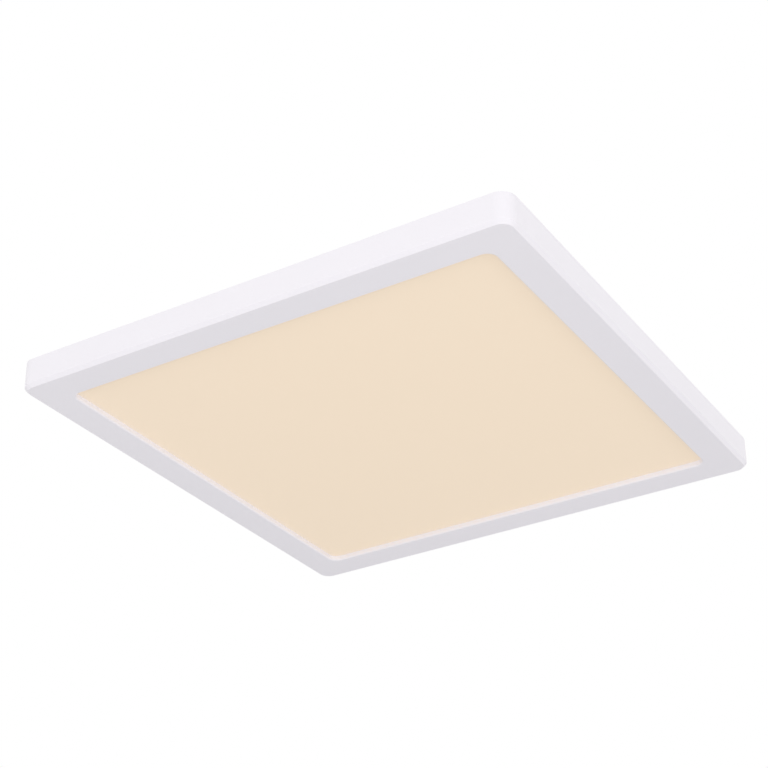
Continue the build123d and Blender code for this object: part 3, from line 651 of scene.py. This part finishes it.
bm = bmesh.new()
flat_holes = [ring(bm, circle(x, y, hole_radius), cover_top) for x, y in cover_screw_places]
outer_bend = pocket_bend + cover_sheet
pocket_profile = arc(outer_bend, cover_top - pocket_bend - cover_sheet, outer_bend, 90, 180, bend_steps)
pocket_profile += arc(-pocket_bend, pocket_floor + pocket_bend, pocket_bend, 0, -90, bend_steps)
pocket_rings = [
    ring(bm, rounded_rectangle(pocket_half[0] + out, pocket_half[1] + out, pocket_corner + out), z)
    for out, z in pocket_profile
]
skin(bm, pocket_rings)
flat_holes.append(pocket_rings[0])
bead_places = [(bead_offset, turn, bead_length, 90) for turn in (0, 90, 180, 270)]
bead_places += [(bead_corner_offset, turn, bead_corner_length, 0) for turn in (45, 135, 225, 315)]
for offset, turn, length, lie in bead_places:
    x = offset * math.cos(math.radians(turn))
    y = offset * math.sin(math.radians(turn))
    bead_rings = []
    for step in range(bead_steps + 1):
        rise = step / bead_steps
        inset = 2 * bead_shoulder * rise
        z = cover_top + bead_height * rise * rise * (3 - 2 * rise)
        bead_rings.append(ring(bm, stadium(length - inset, bead_width - inset, x, y, turn + lie), z))
    skin(bm, bead_rings)
    bm.faces.new(bead_rings[-1])
    flat_holes.append(bead_rings[0])
fill(bm, ring(bm, rounded_rectangle(cover_half, cover_half, cover_corner), cover_top), *flat_holes)
floor_holes = [ring(bm, circle(x, y, rivet_hole_radius), pocket_floor) for x, y in rivet_places]
floor_holes += [ring(bm, circle(x, y, pilot_radius), pocket_floor) for x, y in terminal_screw_places]
fill(bm, pocket_rings[-1], *floor_holes)
back_cover_sheet = solid("back_cover_sheet", bm)
if back_cover_sheet.data.polygons[-1].normal.z < 0:
    back_cover_sheet.data.flip_normals()
sheet_metal = back_cover_sheet.modifiers.new("sheet_metal", "SOLIDIFY")
sheet_metal.thickness = cover_sheet * MM
sheet_metal.offset = -1.0
sheet_metal.use_even_offset = True
settle(back_cover_sheet)
slot = bmesh.new()
block(
    slot,
    (-snout_half - snout_gap, -pocket_half[1] - 2 * cover_sheet, snout_low - snout_gap),
    (snout_half + snout_gap, -pocket_half[1] + cover_sheet, snout_low + snout_height + snout_gap),
)
combine(back_cover_sheet, slot, "DIFFERENCE")

# Powder coat on steel: a soft sheen with the rounded unevenness of melted powder, about 1.5 mm across,
# and a slow drift of tone where the coat is thicker.
coat_drift = 45.0
powder_coat, tree, shader, place = start_material("white_powder_coat_on_steel", "#DFE0DF", 0.42)
grain(tree, shader, place, size=1.5, depth=0.03, smooth=0.36, rough=0.48)
coat = add(tree, "ShaderNodeTexNoise", {"Scale": 1 / (coat_drift * MM), "Detail": 2.0}, {"Vector": place})
add(
    tree, "ShaderNodeMix", {"data_type": "RGBA", 6: linear("#DADBDA"), 7: linear("#E4E5E4")},
    {0: coat.outputs["Fac"]}, {2: shader.inputs["Base Color"]},
)
fit(back_cover_sheet, powder_coat, "coated_steel", "fitting", "back_cover")

# Screws: zinc-plated pan heads with a cross recess, cold-formed. Twelve hold the back cover, two the
# terminal block and eight, out of sight, the heat plate.
head_radius = 2.8
head_height = 1.5
head_edge = 0.15
crown_flat = 1.3
crown_rise = 1.0
crown_steps = 6
shank_radius = 1.2
point_radius = 0.2
point_length = 1.4
cover_screw_length = 6.5
terminal_screw_length = 3.75
recess_depth = 0.9
recess_floor = (0.92, 0.26)
recess_mouth = (1.56, 0.44)
mouth_rise = 0.2
turn_step = 0.7


def loft(bm, rings):
    """A closed form through rings of vertices, flat at both ends."""
    skin(bm, rings)
    bm.faces.new(rings[0])
    bm.faces.new(rings[-1])


def turned(bm, profile, segments=28):
    """A turned form from (radius, z) points, closed flat at both ends."""
    loft(bm, [ring(bm, circle(0, 0, radius, segments), z) for radius, z in profile])


def cross(reach, half_width):
    """Outline of a cross, its four arms of a reach and half a width."""
    outline = [(reach, -half_width), (reach, half_width), (half_width, half_width)]
    for quarter in range(3):
        outline += [(-y, x) for x, y in outline[-3:]]
    return outline


def screw(length):
    """A pan-headed screw whose head rests on the level z = 0, as a mesh."""
    bm = bmesh.new()
    crown = [
        (crown_flat + (head_radius - crown_flat) * u, head_height - crown_rise + crown_rise * v)
        for u, v in arc(0, 0, 1, 90, 0, crown_steps)
    ]
    turned(bm, crown + [
        (head_radius, head_edge), (head_radius - head_edge, 0.0), (shank_radius, 0.0),
        (shank_radius, point_length - length), (point_radius, -length),
    ])
    made = solid("screw", bm)
    recess = bmesh.new()
    loft(recess, [
        ring(recess, cross(*recess_floor), head_height - recess_depth),
        ring(recess, cross(*recess_mouth), head_height + mouth_rise),
    ])
    combine(made, recess, "DIFFERENCE")
    mesh = made.data
    bpy.data.objects.remove(made)
    return mesh


def copies(mesh, places, z):
    """A bmesh with a mesh repeated at places, each turned a little further than the last."""
    bm = bmesh.new()
    for i, (x, y) in enumerate(places):
        bm.verts.ensure_lookup_table()
        start = len(bm.verts)
        bm.from_mesh(mesh)
        bm.verts.ensure_lookup_table()
        moved = Matrix.Translation(Vector((x, y, z)) * MM) @ Matrix.Rotation(i * turn_step, 4, "Z")
        bmesh.ops.transform(bm, matrix=moved, verts=bm.verts[start:])
    return bm


# Zinc plating: bright bluish grey, with a faint drift of tone and fine forming marks.
zinc, tree, shader, place = start_material("zinc_plated_steel", "#BCC2C8", 0.3, 1.0)
grain(tree, shader, place, size=0.35, depth=0.006, smooth=0.24, rough=0.38, tones=("#AEB4BB", "#C9CED2"))
cover_screws = solid("cover_screws", copies(screw(cover_screw_length), cover_screw_places, cover_top))
fit(cover_screws, zinc, "zinc_screws", "fitting", "back_cover_screws")
ear_top = base_high.z / MM
block_screws = solid("block_screws", copies(screw(terminal_screw_length), terminal_screw_places, ear_top))
fit(block_screws, zinc, "zinc_screws", "fitting", "terminal_screws")
dress(zinc, "heat_plate_screws")

# Terminal block: light grey polyamide housing clipped over a base with two screw ears. Each pole has
# a brass contact, a hairpin spring and an orange button that lets go of the wire.
housing_low, housing_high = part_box("terminal_housing")
pole_pitch = 10.0
housing_corner = 0.9
housing_edge = 0.6
housing_edge_steps = 4
plan_steps = 5
chamber_half = (3.7, 9.2)
chamber_y = -49.2
window_half = (2.6, 3.3)
roof_thickness = 1.6
entry_half = 1.6
entry_z = -8.1
entry_wall = 4.0
funnel_half = 2.5
funnel_depth = 1.4
lead_hole_radius = 1.25
lead_hole_segments = 20
lead_entry = 4.0
groove_half = 0.3
groove_depth = 0.35
overlap = 1.0
mouth_overlap = 0.1
entry_overlap = 0.5
lead_overlap = 0.02
front = housing_high.y / MM
snout_back = housing_low.y / MM
block_back = base_low.y / MM
block_half = housing_high.x / MM
housing_foot = housing_low.z / MM
housing_top = housing_high.z / MM
roof = housing_top - roof_thickness
block_middle = (front + block_back) / 2

bm = bmesh.new()
edge_arc = arc(-housing_edge, housing_top - housing_edge, housing_edge, 0, 90, housing_edge_steps)
rings = []
for out, z in [(0.0, housing_foot)] + edge_arc:
    plan = rounded_rectangle(
        block_half + out, (front - block_back) / 2 + out, housing_corner + out, plan_steps
    )
    rings.append(ring(bm, [(x, y + block_middle) for x, y in plan], z))
loft(bm, rings)
terminal_block = solid("terminal_block", bm)
snout = bmesh.new()
block(
    snout,
    (-snout_half, snout_back, snout_low),
    (snout_half, block_back + overlap, snout_low + snout_height),
)
combine(terminal_block, snout, "UNION")
hollows = bmesh.new()
for pole in (-1, 0, 1):
    x = pole * pole_pitch
    block(
        hollows,
        (x - chamber_half[0], chamber_y - chamber_half[1], housing_foot - overlap),
        (x + chamber_half[0], chamber_y + chamber_half[1], roof),
    )
    block(
        hollows,
        (x - window_half[0], chamber_y - window_half[1], roof - overlap),
        (x + window_half[0], chamber_y + window_half[1], housing_top + overlap),
    )
    mouth = []
    for half, y in (
        (funnel_half, front + mouth_overlap),
        (entry_half, front - funnel_depth),
        (entry_half, front - entry_wall - entry_overlap),
    ):
        corners = [(x + half * u, y, entry_z + half * v) for u, v in ((1, 1), (-1, 1), (-1, -1), (1, -1))]
        mouth.append([hollows.verts.new(Vector(corner) * MM) for corner in corners])
    loft(hollows, mouth)
for side in (-1, 1):
    x = side * pole_pitch / 2
    block(
        hollows,
        (x - groove_half, block_back - overlap, housing_top - groove_depth),
        (x + groove_half, front + overlap, housing_top + overlap),
    )
    lead_hole = (
        Matrix.Translation(Vector((x, snout_back + lead_entry / 2, snout_low + snout_height / 2)) * MM)
        @ Matrix.Rotation(math.radians(90), 4, "X")
    )
    bmesh.ops.create_cone(
        hollows, cap_ends=True, segments=lead_hole_segments, radius1=lead_hole_radius * MM,
        radius2=lead_hole_radius * MM, depth=(lead_entry + lead_overlap) * MM, matrix=lead_hole,
    )
combine(terminal_block, hollows, "DIFFERENCE")

# Moulded polyamide: a waxy light grey with a fine eroded grain.
polyamide, tree, shader, place = start_material("light_grey_polyamide_moulded", "#DCDDDC", 0.5)
shader.inputs["IOR"].default_value = 1.53
grain(tree, shader, place, size=0.5, depth=0.01, smooth=0.42, rough=0.56, tones=("#D7D8D7", "#E1E2E1"))
fit(terminal_block, polyamide, "terminal_plastic", "fitting", "terminal_housing")
dress(polyamide, "terminal_base")

# Rolled brass: a warm yellow metal with a soft, slightly mottled sheen.
brass, tree, shader, place = start_material("rolled_brass", "#C9A454", 0.3, 1.0)
grain(tree, shader, place, size=0.6, depth=0.004, smooth=0.24, rough=0.40, tones=("#BF9A4A", "#D3B067"))
dress(brass, "terminal_contacts")

# Buttons: orange polyamide push buttons, each held under the housing's roof by a flange and pushed
# up by its hairpin spring. A short groove on top takes a screwdriver.
# The plastic is a dense satin orange with a faint drift of its pigment.
orange, tree, shader, place = start_material("orange_polyamide_moulded", "#E07B2A", 0.42)
shader.inputs["IOR"].default_value = 1.53
grain(tree, shader, place, size=0.6, depth=0.01, smooth=0.36, rough=0.48, tones=("#DA7323", "#E68433"))
button_half = (2.3, 3.0)
flange = 0.8
flange_height = 1.4
button_corner = 0.5
least_corner = 0.2
button_edge = 0.5
button_edge_steps = 5
dent_length = 3.4
dent_width = 1.1
dent_taper = 0.3
dent_depth = 0.35
dent_steps = 8
for pole in ("live", "earth", "neutral"):
    button_low, button_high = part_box(f"terminal_button_{pole}")
    x = (button_low.x + button_high.x) / 2 / MM
    foot = button_low.z / MM
    top = button_high.z / MM
    levels = [(flange, foot), (flange, foot + flange_height), (0.0, foot + flange_height)]
    levels += arc(-button_edge, top - button_edge, button_edge, 0, 90, button_edge_steps)
    bm = bmesh.new()
    rings = []
    for out, z in levels:
        corner = max(button_corner + out, least_corner)
        plan = rounded_rectangle(button_half[0] + out, button_half[1] + out, corner, plan_steps)
        rings.append(ring(bm, [(x + u, chamber_y + v) for u, v in plan], z))
    skin(bm, rings)
    bm.faces.new(rings[0])
    dent_top = ring(bm, stadium(dent_length, dent_width, x, chamber_y, 90, dent_steps), top)
    dent_plan = stadium(dent_length - dent_taper, dent_width - dent_taper, x, chamber_y, 90, dent_steps)
    dent_foot = ring(bm, dent_plan, top - dent_depth)
    skin(bm, [dent_top, dent_foot])
    bm.faces.new(dent_foot)
    fill(bm, rings[-1], dent_top)
    push_button = solid(f"push_button_{pole}", bm)
    fit(push_button, orange, "button_plastic", f"button_{pole}", f"terminal_button_{pole}")

# Spring clips and terminal springs: bent strips of hardened spring steel. The two clips are riveted
# to the pocket's floor and spring over the bracket's legs.
# Bright rolled strip with fine lines across the bend and a trace of straw tint from hardening.
line_length = 20.0
line_width = 0.4
spring_steel, tree, shader, place = start_material("hardened_spring_strip", "#A9ABB0", 0.28, 1.0)
strip = add(
    tree, "ShaderNodeMapping", {"Scale": (1.0, line_width / line_length, 1.0)}, {"Vector": place}
)
grain(
    tree, shader, strip.outputs["Vector"], size=line_width, depth=0.005, smooth=0.20, rough=0.36,
    tones=("#9A9893", "#B6B9BE"),
)
dress(spring_steel, "spring_clip_left", "spring_clip_right")

# Each terminal spring is a hairpin that lies on its contact and pushes its button up. It closes as the
# button goes down 1.2 mm, to about two thirds of its height.
hairpin_sheet = 0.35
hairpin_bend = 1.6
for pole in ("live", "earth", "neutral"):
    spring_low, spring_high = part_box(f"terminal_spring_{pole}")
    bend_y = spring_low.y / MM + hairpin_bend
    front_y = spring_high.y / MM
    foot = spring_low.z / MM
    top = spring_high.z / MM
    skins = []
    for inset in (0.0, hairpin_sheet):
        bend = hairpin_bend - inset
        skins.append(
            [(front_y, foot + inset)]
            + arc(bend_y, foot + hairpin_bend, bend, 270, 180, bend_steps)
            + arc(bend_y, top - hairpin_bend, bend, 180, 90, bend_steps)
            + [(front_y, top - inset)]
        )
    bm = bmesh.new()
    rings = []
    for outer, inner in zip(*skins):
        corners = [
            (spring_low.x, *outer), (spring_high.x, *outer),
            (spring_high.x, *inner), (spring_low.x, *inner),
        ]
        rings.append([bm.verts.new((x, y * MM, z * MM)) for x, y, z in corners])
    loft(bm, rings)
    hairpin = solid(f"hairpin_spring_{pole}", bm)
    fit(hairpin, spring_steel, "spring_steel", "fitting", f"terminal_spring_{pole}")
    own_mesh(hairpin)

# Rivets: four zinc-plated steel rivets hold the clips, set by a domed tool at both ends. The blow
# leaves the zinc a little duller and mottled.
rivet_radius = 1.5
rivet_head = 2.7
rivet_dome = 0.9
dome_start = 80
dome_steps = 6
rivet_low, rivet_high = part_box("clip_rivets")
rivet_seat = rivet_high.z / MM - rivet_dome
rivet_under = rivet_low.z / MM + rivet_dome - rivet_seat
bm = bmesh.new()
dome = [(rivet_head * u, rivet_dome * v) for u, v in arc(0, 0, 1, dome_start, 0, dome_steps)]
lower_dome = [(radius, rivet_under - z) for radius, z in dome[::-1]]
turned(bm, dome + [(rivet_radius, 0.0), (rivet_radius, rivet_under)] + lower_dome)
rivet = solid("rivet", bm)
rivets = solid("rivets", copies(rivet.data, rivet_places, rivet_seat))
bpy.data.objects.remove(rivet)
rivet_zinc, tree, shader, place = start_material("zinc_plated_rivet", "#B4B9BF", 0.34, 1.0)
grain(tree, shader, place, size=0.5, depth=0.01, smooth=0.26, rough=0.42, tones=("#A6ABB1", "#C2C6CB"))
fit(rivets, rivet_zinc, "rivet_steel", "fitting", "clip_rivets")

# Ceiling bracket: a bent bar of galvanised steel, screwed to the ceiling through its two slots. Its
# legs carry the bumps that the spring clips hold, and the mains cable comes through its hole.
# Hot-dip zinc freezes in flat crystals, here about 7 mm across, each with its own tone and gloss.
crystal_size = 7.0
frost_size = 0.6
frost_depth = 0.008
galvanised, tree, shader, place = start_material("galvanised_steel_sheet", "#AEB4B9", 0.38, 1.0)
crystals = add(tree, "ShaderNodeTexVoronoi", {"Scale": 1 / (crystal_size * MM)}, {"Vector": place})
crystal = add(tree, "ShaderNodeSeparateColor", None, {"Color": crystals.outputs["Color"]})
add(
    tree, "ShaderNodeMix", {"data_type": "RGBA", 6: linear("#A6ACB2"), 7: linear("#B8BEC3")},
    {0: crystal.outputs["Red"]}, {2: shader.inputs["Base Color"]},
)
add(
    tree, "ShaderNodeMapRange", {"To Min": 0.30, "To Max": 0.48},
    {"Value": crystal.outputs["Green"]}, {"Result": shader.inputs["Roughness"]},
)
frost = add(tree, "ShaderNodeTexNoise", {"Scale": 1 / (frost_size * MM), "Detail": 3.0}, {"Vector": place})
add(
    tree, "ShaderNodeBump", {"Distance": frost_depth * MM},
    {"Height": frost.outputs["Fac"]}, {"Normal": shader.inputs["Normal"]},
)
dress(galvanised, "ceiling_bracket")

# Stage: a plain pale floor far below the light, a white surround and three soft lamps a little below
# it: a broad one before each of the two walls that face the camera, and a weak one off their corner.
floor_reach = 200.0
floor_level = -1.7
roller_size = 300.0
floor_mesh = bpy.data.meshes.new("floor")
floor_mesh.from_pydata(
    [(x * floor_reach, y * floor_reach, floor_level) for x, y in ((-1, -1), (1, -1), (1, 1), (-1, 1))],
    [],
    [(0, 1, 2, 3)],
)
floor = bpy.data.objects.new("floor", floor_mesh)
bpy.context.scene.collection.objects.link(floor)
pale_floor, tree, shader, place = start_material("pale_painted_floor", "#F4F4F5", 0.8)
roller = add(tree, "ShaderNodeTexNoise", {"Scale": 1 / (roller_size * MM)}, {"Vector": place})
add(
    tree, "ShaderNodeMix", {"data_type": "RGBA", 6: linear("#F2F2F3"), 7: linear("#F6F6F7")},
    {0: roller.outputs["Fac"]}, {2: shader.inputs["Base Color"]},
)
floor_mesh.materials.append(pale_floor)

# What the camera, metal and glass see of the surround is white. What lights the object is softer.
light_strength = 0.705
white_strength = 1.0
world = bpy.data.worlds.new("white_surround")
bpy.context.scene.world = world
world.use_nodes = True
tree = world.node_tree
tree.nodes.clear()
light_path = add(tree, "ShaderNodeLightPath")
seen = add(
    tree, "ShaderNodeMath", {"operation": "MAXIMUM"},
    {0: light_path.outputs["Is Camera Ray"], 1: light_path.outputs["Is Glossy Ray"]},
)
seen_through = add(
    tree, "ShaderNodeMath", {"operation": "MAXIMUM"},
    {0: seen.outputs[0], 1: light_path.outputs["Is Transmission Ray"]},
)
soft_light = add(
    tree, "ShaderNodeBackground", {"Color": linear("#FFFFFF"), "Strength": light_strength}
)
white_background = add(
    tree, "ShaderNodeBackground", {"Color": linear("#FFFFFF"), "Strength": white_strength}
)
surround = add(
    tree, "ShaderNodeMixShader", None,
    {0: seen_through.outputs[0], 1: soft_light.outputs[0], 2: white_background.outputs[0]},
)
add(tree, "ShaderNodeOutputWorld", None, {"Surface": surround.outputs[0]})

for lamp_name, watts, lamp_size, lamp_place in (
    ("broad_lamp_right", 33.6, 2.5, (3.75, 0.40, -0.90)),
    ("broad_lamp_left", 8.75, 1.2, (-0.15, -1.80, -0.40)),
    ("weak_lamp_front", 1.95, 0.9, (0.90, -0.90, -0.50)),
):
    lamp_data = bpy.data.lights.new(lamp_name, "AREA")
    lamp_data.size = lamp_size
    lamp_data.energy = watts
    lamp = bpy.data.objects.new(lamp_name, lamp_data)
    lamp.location = lamp_place
    lamp.rotation_euler = (-lamp.location).to_track_quat("-Z", "Y").to_euler()
    bpy.context.scene.collection.objects.link(lamp)

# The camera stands where the photograph was taken from, below the light and before its near corner.
camera_place = Vector((625.02, -1039.69, -680.27)) * MM
camera_target = Vector((6.41, -34.67, 0.0)) * MM
camera_roll = -0.0062
lens_length = 82.136
sensor_width = 36.0
camera_data = bpy.data.cameras.new("photo_camera")
camera_data.lens = lens_length
camera_data.sensor_width = sensor_width
camera = bpy.data.objects.new("photo_camera", camera_data)
camera.location = camera_place
aim = (camera_target - camera_place).to_track_quat("-Z", "Y")
camera.rotation_euler = (aim @ Quaternion((0, 0, 1), camera_roll)).to_euler()
bpy.context.scene.collection.objects.link(camera)
bpy.context.scene.camera = camera
bpy.context.scene.view_settings.view_transform = "Standard"
